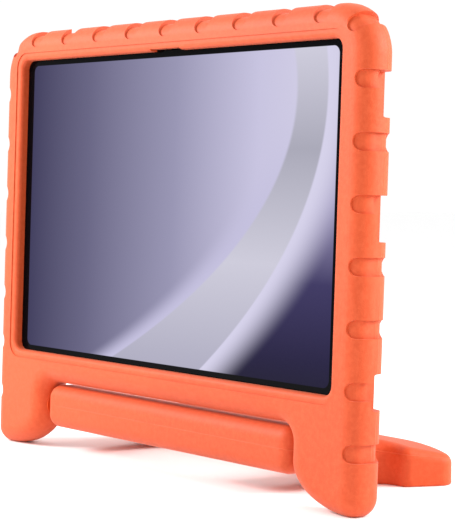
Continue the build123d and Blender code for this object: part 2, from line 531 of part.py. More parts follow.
def main_flex():
    """Ribbon from the mainboard down past the battery to the charge board."""
    y0, y1 = BOARD_BACK, BOARD_BACK + FLEX_T
    x_run = BAY_X - BATTERY_SIDE + RIBBON_GAP
    across = box(BOARD_X1 - 10, x_run + RIBBON_W, y0, y1, BOARD_Z + 1, BOARD_Z + 1 + RIBBON_W)
    down = box(x_run, x_run + RIBBON_W, y0, y1, -10, BOARD_Z + 1 + RIBBON_W)
    lap = box(x_run, BAY_X - CHARGE_W + 5, y0, y1, -10, -10 + RIBBON_W)
    return across + down + lap


def display_flex():
    """Ribbon from the display cell's top edge, round behind it and onto the mainboard."""
    x0, x1 = FLEX_X, FLEX_X + DISPLAY_FLEX_W
    z0 = CELL_H / 2
    up = box(x0, x1, CELL_Y, BOARD_BACK + FLEX_T, z0, z0 + FLEX_T)
    lap = box(x0, x1, BOARD_BACK, BOARD_BACK + FLEX_T, BOARD_Z + BOARD_H - 2, z0)
    return up + lap


def speaker(s, z, outlet_z):
    """A flat box whose sound leaves by a duct to the holes in the shell's side."""
    x0, x1 = sorted((s * (BAY_X - SPEAKER_W), s * BAY_X))
    body = box(x0, x1, BAY_Y, BAY_BACK - 0.1, z - SPEAKER_H / 2, z + SPEAKER_H / 2)
    half = SPEAKER_HOLES * SPEAKER_HOLE_PITCH / 2 - 0.5
    duct = box(*sorted((s * (BAY_X - SPEAKER_DUCT), s * (BAY_X + 1))), PORT_Y - 0.8, PORT_Y + 0.8,
               outlet_z - half, outlet_z + half)
    return body - duct


def headphone_jack():
    """A low-profile socket with a round collar that reaches the shell's outside."""
    block = box(-BAY_X, JACK_IN, MIDFRAME_Y, BAY_BACK, -JACK_W / 2, JACK_W / 2)
    collar = rod_x(JACK_COLLAR_R, -TAB_X, -BAY_X, JACK_Y, 0)
    bore = rod_x(JACK_BORE_R, -TAB_X - 1, -TAB_X + JACK_BORE_L, JACK_Y, 0)
    return block + collar - bore


def front_camera():
    half = FRONT_EYE / 2
    body = box(-half, half, CELL_Y + 0.6, BOARD_BACK, FRONT_EYE_Z, FRONT_EYE_Z + FRONT_EYE)
    return body + rod_y(1.6, CELL_Y, CELL_Y + 0.6, 0, FRONT_EYE_Z + half)


def rear_camera():
    body = box(REAR_EYE_X - 5, REAR_EYE_X + 5, BAY_Y, BAY_BACK - 0.6, REAR_EYE_Z - 5, REAR_EYE_Z + 5)
    return body + rod_y(EYE_LENS_R - 1, BAY_BACK - 0.6, TAB_BACK, REAR_EYE_X, REAR_EYE_Z)


def rear_camera_ring():
    """The turned ring that stands proud of the back and holds the lens window."""
    ring = rod_y(EYE_RING_R, BAY_BACK, TAB_BACK + EYE_PROUD, REAR_EYE_X, REAR_EYE_Z)
    edge = ring.edges().filter_by_position(Axis.Y, TAB_BACK + EYE_PROUD - 0.01, TAB_BACK + EYE_PROUD + 0.01)
    ring = fillet(edge, 0.35)
    ring = ring - rod_y(EYE_LENS_R - 1, BAY_BACK - 1, TAB_BACK + 5, REAR_EYE_X, REAR_EYE_Z)
    return ring - rod_y(EYE_LENS_R, TAB_BACK, TAB_BACK + 5, REAR_EYE_X, REAR_EYE_Z)


def rear_camera_lens():
    return rod_y(EYE_LENS_R, TAB_BACK, TAB_BACK + EYE_PROUD - 0.15, REAR_EYE_X, REAR_EYE_Z)


def key_bracket():
    """A folded strip behind the keys, with the volume key's fulcrum standing on it."""
    x0, x1 = POWER_X - POWER_L / 2 - 2, VOLUME_X + VOLUME_L / 2 + 2
    strip = box(x0, x1, BAY_Y, BAY_BACK - 0.1, BRACKET_Z, BRACKET_Z + BRACKET_T)
    post = box(VOLUME_X - FULCRUM_W / 2, VOLUME_X + FULCRUM_W / 2, PORT_Y - 1, PORT_Y + 1,
               BRACKET_Z + BRACKET_T, VOLUME_ROOT - 0.06)
    return strip + post


def key_flex():
    """Ribbon under the switches, with a tail down onto the mainboard."""
    x0, x1 = POWER_X - POWER_L / 2, VOLUME_X + VOLUME_L / 2 + 3
    z0 = BRACKET_Z + BRACKET_T
    ribbon = box(x0, x1, PORT_Y - 1.3, PORT_Y + 1.3, z0, z0 + FLEX_T)
    ribbon = ribbon - box(VOLUME_X - FULCRUM_W / 2, VOLUME_X + FULCRUM_W / 2, PORT_Y - 1, PORT_Y + 1,
                          z0 - 1, z0 + 1)
    tail = box(x1 - 1, BOARD_X0 + 4, BOARD_BACK, BOARD_BACK + FLEX_T, z0 - 2, z0 + FLEX_T)
    lap = box(BOARD_X0 + 1, BOARD_X0 + 4, BOARD_BACK, BOARD_BACK + FLEX_T, BOARD_Z + BOARD_H - 4, z0)
    return ribbon + tail + lap


def key_switches():
    """Three dome switches: one under the power key, one under each end of the volume key."""
    z0 = BRACKET_Z + BRACKET_T + FLEX_T
    spots = (POWER_X, VOLUME_X - SWITCH_PITCH / 2, VOLUME_X + SWITCH_PITCH / 2)
    return Compound(children=[
        box(x - SWITCH_L / 2, x + SWITCH_L / 2, PORT_Y - SWITCH_W / 2, PORT_Y + SWITCH_W / 2,
            z0, z0 + SWITCH_H) for x in spots])


def card_reader():
    cage = box(-BAY_X, -BAY_X + READER_L, BAY_Y, BAY_Y + READER_T,
               TRAY_Z - TRAY_W / 2 - 0.8, TRAY_Z + TRAY_W / 2 + 0.8)
    return cage - box(-BAY_X - 1, -BAY_X + READER_L - 0.8, TRAY_Y, TRAY_Y + TRAY_T,
                      TRAY_Z - TRAY_W / 2, TRAY_Z + TRAY_W / 2)


def card_tray():
    """A flat drawer, flush with the shell, with a window for the memory card."""
    tray = box(-TAB_X, -BAY_X + READER_L - 1.2, TRAY_Y, TRAY_Y + TRAY_T,
               TRAY_Z - TRAY_W / 2, TRAY_Z + TRAY_W / 2)
    return tray - box(-BAY_X + 1.2, -BAY_X + READER_L - 2.5, TRAY_Y + 0.2, TRAY_Y + 2,
                      TRAY_Z - TRAY_W / 2 + 1, TRAY_Z + TRAY_W / 2 - 1)


def microphone():
    body = box(MIC_X - 1.8, MIC_X + 1.8, BAY_Y, BAY_Y + MIC_T, BAY_Z - 2.7, BAY_Z)
    return body - Pos(MIC_X, BAY_Y + MIC_T / 2, BAY_Z) * Cylinder(MIC_HOLE_R, 2)


def antenna(s):
    """A printed strip along the tablet's lower edge."""
    x0, x1 = sorted((s * ANTENNA_X0, s * ANTENNA_X1))
    return box(x0, x1, BAY_Y, BAY_Y + 0.3, -BAY_Z + 0.4, -BAY_Z + 3.4)


def board_screws():
    """Small flat-headed screws through the boards into the midframe."""
    return Compound(children=[
        rod_y(SCREW_R, MIDFRAME_Y, BOARD_BACK, x, z)
        + rod_y(SCREW_HEAD_R, BOARD_BACK, BOARD_BACK + SCREW_HEAD_T, x, z) for x, z in SCREWS])


CASE_NODES = {
    "foam_case": foam_case,
    "hinge_bush_left": lambda: bush(-1),
    "hinge_bush_right": lambda: bush(1),
    "cover_glass": cover_glass,
    "display_cell": display_cell,
    "backlight_unit": backlight_unit,
    "midframe": midframe,
    "rear_shell": rear_shell,
    "battery_left": lambda: battery(-1),
    "battery_right": lambda: battery(1),
    "mainboard": mainboard,
    "processor": lambda: chip(PROCESSOR_X, 15, 15),
    "memory_chip": lambda: chip(MEMORY_X, 12, 13),
    "shield_cans": shield_cans,
    "charge_board": charge_board,
    "usb_port": usb_port,
    "main_flex": main_flex,
    "display_flex": display_flex,
    "speaker_upper_left": lambda: speaker(-1, SLOT_TOP_Z, SLOT_TOP_Z),
    "speaker_upper_right": lambda: speaker(1, SLOT_TOP_Z, SLOT_TOP_Z),
    "speaker_lower_left": lambda: speaker(-1, SLOT_LOW_Z + SPEAKER_LIFT, SLOT_LOW_Z + OUTLET_LIFT),
    "speaker_lower_right": lambda: speaker(1, SLOT_LOW_Z + SPEAKER_LIFT, SLOT_LOW_Z + OUTLET_LIFT),
    "headphone_jack": headphone_jack,
    "front_camera": front_camera,
    "rear_camera": rear_camera,
    "rear_camera_ring": rear_camera_ring,
    "rear_camera_lens": rear_camera_lens,
    "power_key": power_key,
    "volume_key": volume_key,
    "key_bracket": key_bracket,
    "key_flex": key_flex,
    "key_switches": key_switches,
    "card_reader": card_reader,
    "card_tray": card_tray,
    "microphone": microphone,
    "antenna_left": lambda: antenna(-1),
    "antenna_right": lambda: antenna(1),
    "board_screws": board_screws,
    "hinge_pin_left": lambda: pin(-1),
    "hinge_pin_right": lambda: pin(1),
}


def main():
    os.makedirs("parts", exist_ok=True)
    for name, make in CASE_NODES.items():
        export_step(SETTLE * make(), f"parts/{name}.step")
    export_step(HINGE_SPOT * handle(), "parts/handle.step")


if __name__ == "__main__":
    main()
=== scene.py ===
import json

import bpy
import numpy as np
from bpy.props import FloatProperty, FloatVectorProperty, PointerProperty
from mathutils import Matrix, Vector


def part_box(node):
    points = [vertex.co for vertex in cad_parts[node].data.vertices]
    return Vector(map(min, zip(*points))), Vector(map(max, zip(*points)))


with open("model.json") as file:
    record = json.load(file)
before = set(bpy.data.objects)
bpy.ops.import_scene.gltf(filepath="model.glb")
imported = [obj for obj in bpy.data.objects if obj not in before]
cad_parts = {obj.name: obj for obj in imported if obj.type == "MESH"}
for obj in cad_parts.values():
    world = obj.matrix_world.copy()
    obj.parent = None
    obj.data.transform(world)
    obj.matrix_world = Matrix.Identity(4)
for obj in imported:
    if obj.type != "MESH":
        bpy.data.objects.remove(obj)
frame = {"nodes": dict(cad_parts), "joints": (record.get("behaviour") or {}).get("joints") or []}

bl_info = {
    "name": "Tablet in a Foam Case",
    "version": (1, 0, 0),
    "blender": (4, 5, 0),
    "location": "3D View > Sidebar > Foam Case",
    "description": "Finishes, small parts and studio for a tablet in a moulded foam bumper case",
    "category": "Object",
}


# ------------------------------------------------------------------ what the frame says
def tint(red, green, blue):
    """A screen colour of 0 to 255 a channel, as the linear colour that shaders take."""
    parts = [c / 255 for c in (red, green, blue)]
    return tuple(c / 12.92 if c <= 0.04045 else ((c + 0.055) / 1.055) ** 2.4 for c in parts)


def middle(node):
    """Middle of a node's box."""
    low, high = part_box(node)
    return (np.array(low) + np.array(high)) / 2


def reach(node, direction):
    """How far a node reaches along a direction: lowest and highest, in metres from the origin."""
    mesh = frame["nodes"][node].data
    spots = np.empty(3 * len(mesh.vertices))
    mesh.vertices.foreach_get("co", spots)
    along = spots.reshape(-1, 3) @ np.array(direction)
    return along.min(), along.max()


JOINTS = {joint["name"]: joint for joint in frame["joints"]}
RIGHT = np.array((1.0, 0.0, 0.0))
UP = -np.array(JOINTS["power_key_press"]["axis"])          # up the leaned screen
UP = UP / np.linalg.norm(UP)
BACK = np.cross(UP, RIGHT)                                 # from the case's face to its back
HINGE = np.array(JOINTS["handle_hinge"]["pos_m"])
SCREEN = middle("cover_glass")
CASE_FRONT, CASE_BACK = reach("foam_case", BACK)

# ------------------------------------------------------------------ fixed sizes, in metres
BAR_LINE = np.array((0.0, 0.13, 1.0)) / np.hypot(0.13, 1.0)    # across the handle's parting plane
KEY_SPOT, KEY_SIZE = (-0.47, -0.52, 0.36), 0.36                # lamps, from the screen's middle
SIDE_SPOT, SIDE_SIZE = (0.58, 0.46, 0.30), 0.4
FLOOR_HOLE, FLOOR_R = 0.002, 4.0                               # floor's smallest and largest ring
FLOOR_TURNS, FLOOR_RINGS = 64, 6
PUPIL_R, EYE_RING_IN, EYE_RING_OUT = 0.0009, 0.0013, 0.0016    # the front camera's eye
CLEAR_R, LENS_R = 0.0024, 0.0058                               # the rear camera's window
RING_R = 0.0072                                                # where its ring turns bright
LABEL_HALF = 0.0176                                            # the battery's pale band
SENSOR = 36.0                                                  # camera sensor, millimetres


# ------------------------------------------------------------------ shader maths
class Wire:
    """One shader value. Python's operators on it add Math nodes."""

    def __init__(self, finish, socket):
        self.finish, self.socket = finish, socket

    def math(self, operation, *values):
        return self.finish.add("Math", {"operation": operation}, dict(enumerate(values)))

    def __add__(self, other):
        return self.math("ADD", self, other)

    def __radd__(self, other):
        return self.math("ADD", other, self)

    def __sub__(self, other):
        return self.math("SUBTRACT", self, other)

    def __rsub__(self, other):
        return self.math("SUBTRACT", other, self)

    def __mul__(self, other):
        return self.math("MULTIPLY", self, other)

    def __rmul__(self, other):
        return self.math("MULTIPLY", other, self)

    def __truediv__(self, other):
        return self.math("DIVIDE", self, other)

    def __pow__(self, other):
        return self.math("POWER", self, other)

    def __abs__(self):
        return self.math("ABSOLUTE", self)

    def over(self, other):
        """The larger of two values."""
        return self.math("MAXIMUM", self, other)

    def sine(self):
        return self.math("SINE", self)

    def ease(self, low, high, out_low=0.0, out_high=1.0):
        """A smooth step: out_low below low, out_high above high."""
        return self.finish.add("MapRange", {"interpolation_type": "SMOOTHSTEP"},
                               {0: self, 1: low, 2: high, 3: out_low, 4: out_high})


class Finish:
    """A procedural material: one Principled shader, and the nodes that feed it."""

    def __init__(self, name, plain):
        self.material = bpy.data.materials.new(name)
        self.material.use_nodes = True
        self.tree = self.material.node_tree
        self.tree.nodes.clear()
        self.shader = self.add("BsdfPrincipled", {}, plain).socket.node
        self.add("OutputMaterial", {}, {"Surface": Wire(self, self.shader.outputs[0])})
        self.place = self.add("TexCoord", {}, {}, "Object")

    def add(self, kind, settings, sockets, out=0):
        """One node: its settings and a ramp's stops first, then its sockets' values or links."""
        node = self.tree.nodes.new("ShaderNode" + kind)
        for key, value in settings.items():
            if key == "stops":
                self._stops(node.color_ramp, value)
            else:
                setattr(node, key, value)
        for key, value in sockets.items():
            if isinstance(value, Wire):
                self.tree.links.new(value.socket, node.inputs[key])
            else:
                node.inputs[key].default_value = value
        return Wire(self, node.outputs[out]) if len(node.outputs) else None

    def _stops(self, ramp, stops):
        while len(ramp.elements) < len(stops):
            ramp.elements.new(1.0)
        for element, (spot, colour) in zip(ramp.elements, stops):
            element.position = spot
            element.color = (*colour, 1.0)

    def feed(self, socket, wire):
        """Links a wire to one of the shader's sockets."""
        self.tree.links.new(wire.socket, self.shader.inputs[socket])

    def along(self, direction, origin):
        """Distance from an origin along a direction, in metres."""
        shifted = self.add("VectorMath", {"operation": "SUBTRACT"},
                           {0: self.place, 1: tuple(origin)})
        return self.add("VectorMath", {"operation": "DOT_PRODUCT"},
                        {0: shifted, 1: tuple(direction)}, "Value")

    def noise(self, per_metre, detail=2.0, rough=0.5, stretch=(1.0, 1.0, 1.0)):
        """Cloudy noise from 0 to 1, with so many swells to the metre."""
        scaled = self.add("Mapping", {}, {"Vector": self.place, "Scale": stretch})
        return self.add("TexNoise", {}, {"Vector": scaled, "Scale": per_metre,
                                         "Detail": detail, "Roughness": rough})

    def cells(self, per_metre, feature="F1", stretch=(1.0, 1.0, 1.0)):
        """Distance to the nearest of many scattered points, in cell widths."""
        scaled = self.add("Mapping", {}, {"Vector": self.place, "Scale": stretch})
        return self.add("TexVoronoi", {"feature": feature}, {"Vector": scaled,
                                                             "Scale": per_metre}, "Distance")

    def mix(self, share, first, second):
        """A colour between two, by a share from 0 to 1."""
        colours = [c if isinstance(c, Wire) else (*c, 1.0) for c in (first, second)]
        return self.add("Mix", {"data_type": "RGBA"},
                        {0: share, 6: colours[0], 7: colours[1]}, 2)

    def ramp(self, share, stops):
        """A colour read from a row of stops."""
        return self.add("ValToRGB", {"stops": stops}, {0: share})

    def bump(self, height, metres, normal=None):
        """Raises the surface by a height from 0 to 1 times so many metres."""
        sockets = {"Height": height, "Distance": metres, "Strength": 1.0}
        if normal is not None:
            sockets["Normal"] = normal
        return self.add("Bump", {}, sockets)


def coat(finish, *nodes):
    """Puts a finish on CAD nodes."""
    for name in nodes:
        mesh = frame["nodes"][name].data
        if len(mesh.materials) == 0:
            mesh.materials.append(finish.material)
        for k in range(len(mesh.materials)):
            mesh.materials[k] = finish.material


# ------------------------------------------------------------------ finishes
def moulded_foam(name, line_normal, line_at):
    """Closed-cell foam from a mould: fine skin grain, faint clouding, a thin parting line."""
    look = bpy.context.scene.foam_look
    foam = Finish(name, {"Specular IOR Level": look.shine, "Sheen Weight": look.bloom,
                         "Sheen Roughness": 0.55, "Sheen Tint": (1.0, 0.74, 0.6, 1.0)})
    clouds = foam.noise(11.0, 3.0)
    mottle = foam.noise(420.0, 4.0, 0.62)
    grain = foam.noise(look.grain, 3.0, 0.6)
    pores = foam.cells(look.grain * 0.7)
    off_line = abs(foam.along(line_normal, line_normal * line_at))
    gaps = foam.noise(26.0, 1.0).ease(0.4, 0.5)
    line = (1.0 - off_line.ease(0.00008, look.line_width)) * gaps
    tone = foam.mix(clouds.ease(0.3, 0.7), look.colour, look.deep_colour)
    tone = foam.mix(mottle.ease(0.3, 0.75) * 0.3, tone, look.pale_colour)
    tone = foam.mix(line * 0.5, tone, look.pale_colour)
    foam.feed("Base Color", tone)
    foam.feed("Roughness", grain * 0.22 + mottle * 0.1 + 0.42)
    height = grain * 0.5 + mottle * 0.9 + pores.ease(0.0, 0.5) * 0.35
    skin = foam.bump(height, look.grain_height)
    foam.feed("Normal", foam.bump(line, look.line_height, skin))
    return foam


def satin_nylon():
    """Orange nylon for the pins and bushes, with fine turning marks round their axis."""
    look = bpy.context.scene.foam_look
    nylon = Finish("satin_nylon", {"Specular IOR Level": 0.35})
    marks = (nylon.along(RIGHT, HINGE) * 9000.0).sine() * 0.5 + 0.5
    wear = nylon.noise(300.0, 3.0)
    nylon.feed("Base Color", nylon.mix(wear.ease(0.35, 0.8) * 0.5, look.colour, look.deep_colour))
    nylon.feed("Roughness", wear * 0.2 + 0.3)
    nylon.feed("Normal", nylon.bump(marks, 0.00002))
    return nylon


def lit_glass():
    """Cover glass: black printed border, a picture lit from behind, the front camera's eye."""
    look = bpy.context.scene.screen_look
    glass = Finish("lit_glass", {"Roughness": 0.07, "Specular IOR Level": look.gloss,
                                 "Emission Strength": look.brightness})
    u, v = glass.along(RIGHT, SCREEN), glass.along(UP, SCREEN)
    half_w, half_h = look.width / 2 - look.corner, look.height / 2 - look.corner
    out_u, out_v = (abs(u) - half_w).over(0.0), (abs(v) - half_h).over(0.0)
    rim = (out_u * out_u + out_v * out_v) ** 0.5 - look.corner
    front = 1.0 - glass.along(BACK, SCREEN).ease(-0.0002, 0.0)
    lit = (1.0 - rim.ease(-0.00012, 0.00012)) * front
    sky = glass.ramp(u / look.width + 0.5, [
        (0.0, tint(60, 57, 90)), (0.22, tint(103, 100, 131)), (0.52, tint(152, 149, 179)),
        (0.78, tint(200, 196, 224)), (1.0, tint(214, 210, 232))])
    above = v - 0.055
    band = u - 0.092 + above * above * 8.0
    hollow = u - 0.112 + above * above * 5.0
    height = v / look.height + 0.5
    pale = glass.ramp(height, [(0.0, tint(176, 174, 194)), (0.35, tint(206, 204, 219)),
                               (0.7, tint(170, 169, 184)), (1.0, tint(206, 204, 220))])
    dark = glass.ramp(height, [(0.0, tint(26, 21, 50)), (0.3, tint(62, 56, 98)),
                               (0.55, tint(150, 143, 182)), (1.0, tint(196, 193, 210))])
    glow = glass.mix(band.ease(-0.022, 0.0) * height.ease(0.95, 0.3), sky, tint(196, 192, 222))
    picture = glass.mix(band.ease(-0.0012, 0.0012), glow, pale)
    shade = glass.mix(hollow.ease(0.0, 0.03), tint(214, 210, 234), dark)
    picture = glass.mix(hollow.ease(-0.0008, 0.0008), picture, shade)
    grid = glass.noise(900.0, 1.0) * 0.02
    picture = glass.mix(grid, picture, tint(120, 116, 150))
    glass.feed("Emission Color", glass.mix(lit, (0.0, 0.0, 0.0), picture))
    eye_at = middle("front_camera")
    eye_u, eye_v = glass.along(RIGHT, eye_at), glass.along(UP, eye_at)
    eye = (eye_u * eye_u + eye_v * eye_v) ** 0.5
    pupil = 1.0 - eye.ease(PUPIL_R, 0.001)
    ring = (1.0 - eye.ease(EYE_RING_OUT, 0.0017)) * eye.ease(EYE_RING_IN, 0.0014)
    print_black = glass.mix(glass.noise(60.0, 1.0), tint(6, 6, 8), tint(4, 4, 5))
    border = glass.mix(pupil, print_black, tint(20, 26, 58))
    border = glass.mix(ring, border, tint(42, 42, 48))
    glass.feed("Base Color", glass.mix(lit, border, tint(6, 6, 9)))
    return glass


def anodised(name, colour, pale):
    """Bead-blasted, dyed aluminium with a tight grain; noise patches and grain specks are mixed
    toward a paler tone, which on the shell is painted light (its lit colour) and on the keys is
    bare metal.
    """
    metal = Finish(name, {"Metallic": 1.0})
    grain = metal.noise(5200.0, 2.0, 0.7)
    drift = metal.noise(40.0, 2.0)
    # Painted light on the shell: patches and specks go toward its lit colour. On the keys the same
    # mix goes toward bare metal.
    metal.feed("Base Color", metal.mix(drift.ease(0.3, 0.7) * 0.4 + grain * 0.25, colour, pale))
    metal.feed("Roughness", grain * 0.16 + drift * 0.08 + 0.3)
    metal.feed("Normal", metal.bump(grain, 0.00002))
    return metal


def turned_ring():
    """The camera ring: anodised, with concentric tool marks round its own axis."""
    look = bpy.context.scene.metal_look
    ring = Finish("turned_ring", {"Metallic": 1.0})
    centre = middle("rear_camera_ring")
    u, v = ring.along(RIGHT, centre), ring.along(UP, centre)
    radius = (u * u + v * v) ** 0.5
    marks = (radius * 30000.0).sine() * 0.5 + 0.5
    bright = radius.ease(RING_R, 0.0079)
    ring.feed("Base Color", ring.mix(bright * 0.6 + marks * 0.1, look.shell, look.edge))
    ring.feed("Roughness", marks * 0.12 + 0.2)
    ring.feed("Normal", ring.bump(marks, 0.00001))
    return ring


def cast_alloy():
    """Unpainted die casting: swirled flow marks and a granular skin."""
    look = bpy.context.scene.metal_look
    alloy = Finish("cast_alloy", {"Metallic": 1.0})
    flow, skin = alloy.noise(55.0, 5.0, 0.6, (1.0, 1.0, 3.0)), alloy.noise(2400.0, 2.0)
    alloy.feed("Base Color", alloy.mix(flow.ease(0.3, 0.7), look.alloy, look.alloy_dark))
    alloy.feed("Roughness", flow * 0.25 + 0.35)
    alloy.feed("Normal", alloy.bump(skin, 0.00004))
    return alloy


def plated_steel():
    """Bright plated pressings, brushed along their length."""
    look = bpy.context.scene.metal_look
    steel = Finish("plated_steel", {"Metallic": 1.0})
    brushed = steel.noise(900.0, 3.0, 0.6, (0.15, 4.0, 4.0))
    stain = steel.noise(120.0, 3.0)
    steel.feed("Base Color", steel.mix(stain.ease(0.45, 0.8) * 0.5, look.steel, look.alloy_dark))
    steel.feed("Roughness", brushed * 0.25 + 0.18)
    steel.feed("Normal", steel.bump(brushed, 0.00001))
    return steel


def solder_mask():
    """Circuit board: green mask over copper runs, with bare gold pads between."""
    look = bpy.context.scene.inside_look
    board = Finish("solder_mask", {"Coat Roughness": 0.15})
    x, z = board.along(RIGHT, SCREEN), board.along(UP, SCREEN)
    runs = ((x * 4200.0).sine() * (z * 3100.0).sine()).ease(0.1, 0.4)
    patch = board.noise(220.0, 1.0).ease(0.48, 0.52)
    pads = 1.0 - board.cells(520.0, "F1").ease(0.16, 0.2)
    mask = board.mix(runs * patch * 0.6, look.mask, look.mask_pale)
    board.feed("Base Color", board.mix(pads * (1.0 - patch), mask, look.gold))
    board.feed("Metallic", pads * (1.0 - patch) * 0.9)
    board.feed("Roughness", board.noise(800.0) * 0.2 + 0.3)
    board.feed("Coat Weight", 0.3 - pads * 0.3)
    board.feed("Normal", board.bump(runs * patch, 0.00003))
    return board


def foil_pouch():
    """Battery pouch: black laminated foil with soft creases and a plain pale label band."""
    look = bpy.context.scene.inside_look
    pouch = Finish("foil_pouch", {"Specular IOR Level": 0.4})
    creases = pouch.cells(38.0, "SMOOTH_F1", (1.0, 1.0, 0.6))
    weave = pouch.noise(1600.0, 2.0)
    z = pouch.along(UP, middle("battery_left"))
    label = (1.0 - abs(z).ease(LABEL_HALF, 0.018)) * 0.85
    pouch.feed("Base Color", pouch.mix(label, look.pouch, look.label))
    pouch.feed("Roughness", creases * 0.3 + weave * 0.1 + 0.3)
    pouch.feed("Normal", pouch.bump(creases + weave * 0.15, 0.00025))
    return pouch


def black_moulding():
    """Small moulded bodies: fine spark-eroded texture and a trace of dust."""
    look = bpy.context.scene.inside_look
    black = Finish("black_moulding", {"Specular IOR Level": 0.4})
    spark, dust = black.noise(3800.0, 2.0, 0.7), black.noise(150.0, 4.0)
    black.feed("Base Color", black.mix(dust.ease(0.55, 0.8) * 0.25, look.moulding, look.dust))
    black.feed("Roughness", spark * 0.3 + 0.4)
    black.feed("Normal", black.bump(spark, 0.00003))
    return black


def polyimide():
    """Amber ribbon with copper tracks showing through."""
    look = bpy.context.scene.inside_look
    film = Finish("polyimide", {"Specular IOR Level": 0.5})
    tracks = (film.along(RIGHT + UP * 0.02, SCREEN) * 9000.0).sine().ease(-0.2, 0.2)
    film.feed("Base Color", film.mix(tracks, look.ribbon, look.ribbon_dark))
    film.feed("Roughness", film.noise(500.0) * 0.2 + 0.25)
    film.feed("Normal", film.bump(tracks, 0.00002))
    return film


def dark_laminate():
    """The display cell's stack, dark with a faint grid of drive lines."""
    cell = Finish("dark_laminate", {"Specular IOR Level": 0.5, "Roughness": 0.12})
    lines = (cell.along(UP, SCREEN) * 12000.0).sine().ease(0.4, 0.9)
    cell.feed("Base Color", cell.mix(lines * 0.5, tint(22, 22, 32), tint(46, 46, 66)))
    cell.feed("Normal", cell.bump(lines, 0.000005))
    return cell


def diffusing_film():
    """The backlight's white sheet: pearly, with a fine dot pattern."""
    film = Finish("diffusing_film", {"Specular IOR Level": 0.3})
    dots = film.cells(900.0).ease(0.15, 0.35)
    film.feed("Base Color", film.mix(dots, tint(236, 238, 240), tint(222, 226, 230)))
    film.feed("Roughness", dots * 0.2 + 0.35)
    film.feed("Normal", film.bump(dots, 0.00001))
    return film


def coated_lens():
    """Lens window: black mask round a clear middle, with a painted reflection of its violet and
    green coating that turns with the viewing angle.
    """
    lens = Finish("coated_lens", {"Specular IOR Level": 0.9, "Roughness": 0.04})
    centre = middle("rear_camera_ring")
    u, v = lens.along(RIGHT, centre), lens.along(UP, centre)
    radius = (u * u + v * v) ** 0.5
    # Painted reflection: the coating's violet-to-green glint, mixed into the clear middle's colour
    # by viewing angle.
    tilt = lens.add("LayerWeight", {}, {"Blend": 0.4}, "Facing")
    painted_coating_reflection = lens.mix(tilt, tint(46, 30, 92), tint(28, 78, 66))
    barrel = lens.ramp(radius / LENS_R, [
        (0.0, tint(9, 9, 12)), (0.2, tint(22, 20, 40)), (0.3, tint(10, 10, 12)),
        (0.44, tint(38, 38, 42)), (0.5, tint(8, 8, 9)), (0.74, tint(14, 14, 15))])
    clear = 1.0 - radius.ease(CLEAR_R, 0.0027)
    lens.feed("Base Color", lens.mix(clear * 0.7, barrel, painted_coating_reflection))
    lens.feed("Coat Weight", clear * 0.6 + 0.4)
    return lens


# ------------------------------------------------------------------ settings
def colour_property(name, about, value):
    return FloatVectorProperty(name=name, description=about, default=value, size=3,
                               subtype="COLOR", min=0.0, max=1.0)


class FoamLook(bpy.types.PropertyGroup):
    """Colour and skin of the moulded foam."""
    colour: colour_property("Foam", "The foam's main colour", (0.60, 0.072, 0.012))
    deep_colour: colour_property("Deep Foam", "Where the foam is denser", (0.54, 0.06, 0.01))
    pale_colour: colour_property("Pale Foam", "Scuffed skin and parting lines",
                                 (0.74, 0.13, 0.045))
    shine: FloatProperty(name="Shine", description="Strength of the soft highlight",
                         default=0.3, min=0.0, max=1.0, subtype="FACTOR")
    bloom: FloatProperty(name="Bloom", description="Dusty sheen at glancing angles",
                         default=0.12, min=0.0, max=1.0, subtype="FACTOR")
    grain: FloatProperty(name="Grain", description="Skin grains to the metre",
                         default=1900.0, min=100.0)
    grain_height: FloatProperty(name="Grain Height", description="Height of the skin's grain",
                                default=0.00009, min=0.0, subtype="DISTANCE", unit="LENGTH")
    line_width: FloatProperty(name="Line Width", description="Half width of the parting line",
                              default=0.0003, min=0.0, subtype="DISTANCE", unit="LENGTH")
    line_height: FloatProperty(name="Line Height", description="Height of the parting line",
                               default=0.00015, min=0.0, subtype="DISTANCE", unit="LENGTH")
    case_line: FloatProperty(name="Case Line", description="Parting line, from front to back",
                             default=0.62, min=0.0, max=1.0, subtype="FACTOR")


class ScreenLook(bpy.types.PropertyGroup):
    """Size and light of the picture behind the glass."""
    width: FloatProperty(name="Width", description="Width of the lit picture",
                         default=0.2369, min=0.01, subtype="DISTANCE", unit="LENGTH")
    height: FloatProperty(name="Height", description="Height of the lit picture",
                          default=0.1481, min=0.01, subtype="DISTANCE", unit="LENGTH")
    corner: FloatProperty(name="Corner", description="Radius of the picture's corners",
                          default=0.0036, min=0.0001, subtype="DISTANCE", unit="LENGTH")
    brightness: FloatProperty(name="Brightness", description="Strength of the lit picture",
                              default=1.0, min=0.0)
    gloss: FloatProperty(name="Gloss", description="How strongly the glass mirrors",
                         default=0.02, min=0.0, max=1.0, subtype="FACTOR")


class MetalLook(bpy.types.PropertyGroup):
    """Colours of the metal parts."""
    shell: colour_property("Shell", "Dyed aluminium of the shell", tint(66, 68, 74))
    # Painted light: the shell's colour where it is lit, mixed into the shell by noise and used as
    # the keys' own colour.
    shell_painted_lit: colour_property("Pale Shell", "The shell where it is lit", tint(92, 94, 102))
    edge: colour_property("Edge", "Bare cut edges", tint(176, 178, 186))
    alloy: colour_property("Alloy", "Bare die casting", tint(186, 188, 192))
    alloy_dark: colour_property("Dark Alloy", "Flow marks and stains", tint(134, 136, 142))
    steel: colour_property("Steel", "Plated pressings", tint(206, 206, 210))


